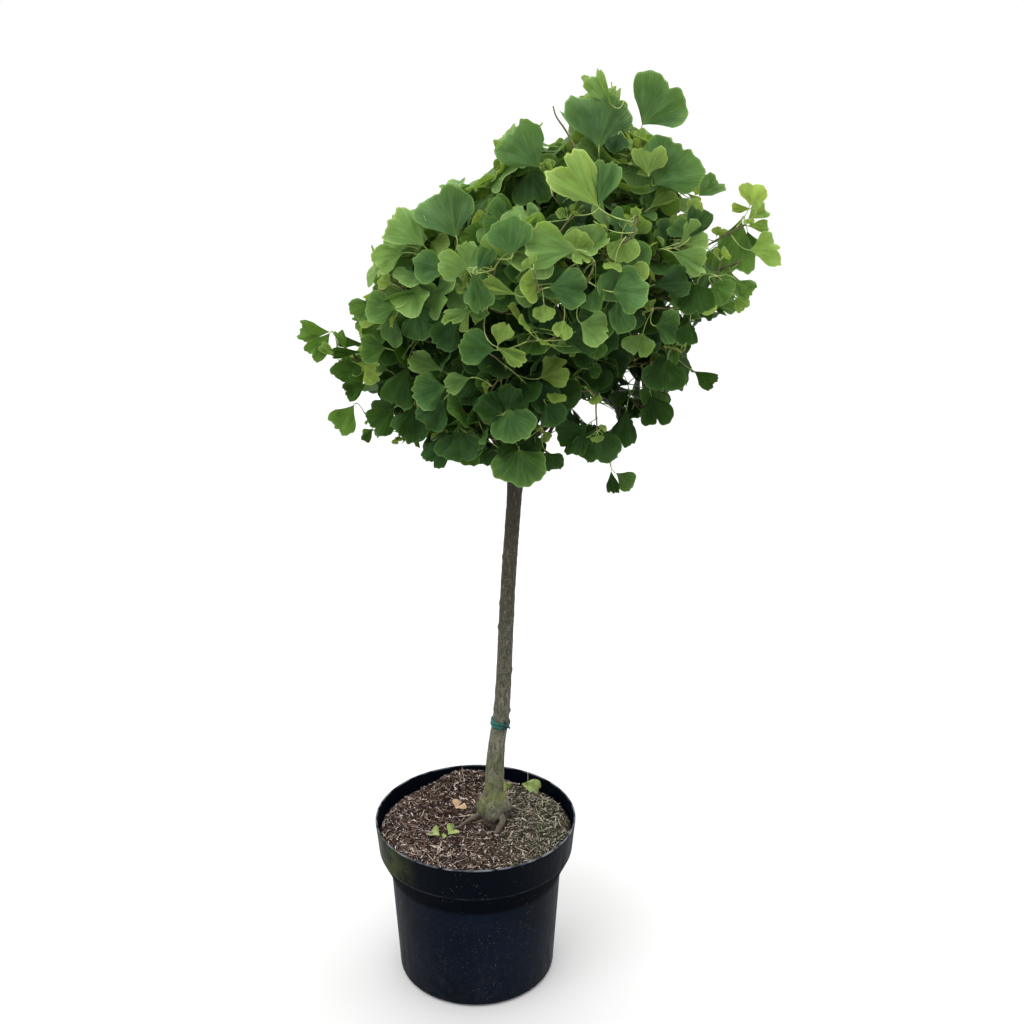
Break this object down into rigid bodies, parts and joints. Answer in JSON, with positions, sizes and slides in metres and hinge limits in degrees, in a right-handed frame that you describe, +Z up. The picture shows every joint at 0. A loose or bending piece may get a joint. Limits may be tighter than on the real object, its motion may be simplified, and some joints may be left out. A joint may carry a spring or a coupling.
{
  "type": "potted ginkgo tree",
  "caption": "Young ginkgo grafted on a tall bare stem: an open leaning head of fan leaves on short boughs, in a round tapering nursery pot of potting mix.",
  "frame": {"origin": "centre of the pot's flat underside", "axes": "+Z up along the pot's own axis, +X towards the side that the stem leans to, -Y towards the viewer's front"},
  "size_m": [0.6964, 0.5188, 1.4492],
  "materials": {
    "pot_plastic": "satin",
    "potting_mix": "matte",
    "bark": "matte",
    "young_bark": "matte",
    "tie_plastic": "satin",
    "leaf_mid": "satin",
    "leaf_deep": "satin",
    "leaf_bright": "satin",
    "leaf_young": "satin",
    "leaf_stalk": "satin",
    "twig_bark": "matte",
    "bark_chip": "matte",
    "straw": "matte",
    "fallen_leaf": "matte"
  },
  "bodies": {
    "root": {"pot": "pot_plastic", "soil": "potting_mix", "trunk": "bark", "trunk_tie": "tie_plastic", "bough_low_front": "young_bark", "foliage_low_front": "leaf_mid", "bough_low_left": "young_bark", "foliage_low_left": "leaf_mid", "bough_low_right": "young_bark", "foliage_low_right": "leaf_mid", "bough_low_back": "young_bark", "foliage_low_back": "leaf_mid", "bough_left": "young_bark", "foliage_left": "leaf_mid", "bough_front": "young_bark", "foliage_front": "leaf_mid", "bough_right": "young_bark", "foliage_right": "leaf_mid", "bough_back_right": "young_bark", "foliage_back_right": "leaf_mid", "bough_back_left": "young_bark", "foliage_back_left": "leaf_mid", "bough_crest": "young_bark", "foliage_crest": "leaf_mid", "bough_top": "young_bark", "foliage_top": "leaf_mid"}
  },
  "joints": []
}
